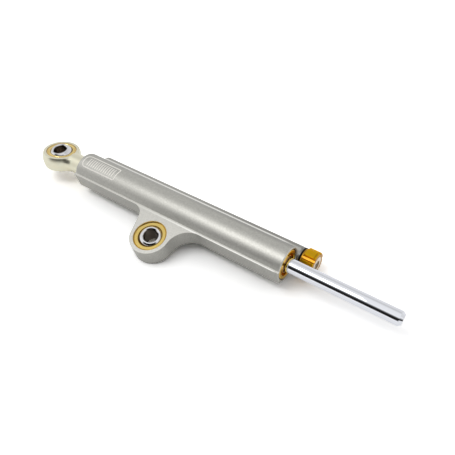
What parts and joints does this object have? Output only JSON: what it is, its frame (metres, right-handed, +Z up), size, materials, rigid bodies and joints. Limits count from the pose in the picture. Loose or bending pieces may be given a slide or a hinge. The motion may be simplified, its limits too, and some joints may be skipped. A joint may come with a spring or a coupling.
{
  "type": "motorcycle steering damper",
  "caption": "Through-rod hydraulic steering damper: milled grey body with a lug bearing, side needle-valve channel with a gold click knob, and a rod with a ball rod end.",
  "frame": {"origin": "centre of the lug's spherical bearing ball", "axes": "+X along the piston rod towards its free tip, +Z up as the damper lies on a table on its lug edge and knob, +Y from the lug across the rod"},
  "size_m": [0.2395, 0.0553, 0.0241],
  "materials": {
    "body_grey": "bead-blasted, hard-anodised warm grey, satin",
    "lug_brass": "turned and lapped brass-lined race",
    "gold_anodised": "gold-anodised, fine turned",
    "knob_gold": "gold-anodised, milled and tumbled",
    "rod_chrome": "ground and hard-chromed, mirror",
    "bearing_steel": "hardened, ground and polished",
    "champagne_plate": "pale champagne plating, satin",
    "champagne_race": "plated, lapped",
    "spring_dark": "black phosphated spring steel",
    "spring_bright": "drawn stainless wire",
    "bush_bronze": "sintered bronze",
    "inner_steel": "turned stainless steel",
    "cartridge_steel": "turned and blackened steel",
    "piston_alu": "hard-anodised, turned",
    "band_ptfe": "filled fluoropolymer",
    "bump_urethane": "moulded urethane",
    "black_rubber": "moulded nitrile"
  },
  "bodies": {
    "housing": {"damper_body": "body_grey", "lug_bearing_race": "lug_brass", "lug_snap_rings": "spring_dark", "front_seal_head": "gold_anodised", "rear_seal_head": "gold_anodised", "head_o_rings": "black_rubber", "head_circlips": "spring_dark", "guide_bushes": "bush_bronze", "rod_seals": "black_rubber", "rod_wipers": "black_rubber", "bump_stops": "bump_urethane", "valve_cartridge": "cartridge_steel", "channel_o_rings": "black_rubber", "valve_seat": "inner_steel", "port_plugs": "inner_steel", "channel_end_plug": "body_grey", "detent_ball": "bearing_steel", "detent_spring": "spring_bright", "spindle_circlip": "spring_dark", "spindle_o_ring": "black_rubber"},
    "lug_ball": {"lug_ball": "bearing_steel"},
    "piston_band": {"piston_band": "band_ptfe"},
    "rod": {"piston_rod": "rod_chrome", "piston": "piston_alu", "piston_circlips": "spring_dark", "rod_end_head": "champagne_plate", "rod_end_race": "champagne_race"},
    "rod_end_ball": {"rod_end_ball": "bearing_steel"},
    "knob": {"adjuster_knob": "knob_gold", "knob_screw": "spring_dark", "knob_o_ring": "black_rubber", "adjuster_spindle": "inner_steel"},
    "needle": {"needle": "inner_steel"},
    "compensator": {"compensator_piston": "piston_alu", "compensator_o_ring": "black_rubber"}
  },
  "joints": [
    {"name": "rod_stroke", "type": "slide", "parent": "housing", "child": "piston_band", "axis": [-1, 0, 0], "range_m": [0, 0.06]},
    {"name": "rod_turn", "type": "hinge", "parent": "piston_band", "child": "rod", "pos_m": [0, 0.02168, 0.00603], "axis": [1, 0, 0], "continuous": true},
    {"name": "rod_end_tilt", "type": "hinge", "parent": "rod", "child": "rod_end_ball", "pos_m": [-0.093, 0.02168, 0.00603], "axis": [1, 0, 0], "range_deg": [-23, 3]},
    {"name": "lug_ball_tilt", "type": "hinge", "parent": "housing", "child": "lug_ball", "pos_m": [0, 0, 0], "axis": [0, 0.9635, 0.2678], "range_deg": [-21, 5]},
    {"name": "knob_turn", "type": "hinge", "parent": "housing", "child": "knob", "pos_m": [0.079, 0.03552, -0.00082], "axis": [1, 0, 0], "range_deg": [0, 540]},
    {"name": "needle_travel", "type": "slide", "parent": "housing", "child": "needle", "axis": [-1, 0, 0], "range_m": [0, 0.00105]},
    {"name": "compensator_travel", "type": "slide", "parent": "housing", "child": "compensator", "axis": [-1, 0, 0], "range_m": [-0.004, 0.004]}
  ],
  "couplings": [
    {"joint": "knob_turn", "follows": "needle_travel", "rad_per_m": 8975.9}
  ]
}
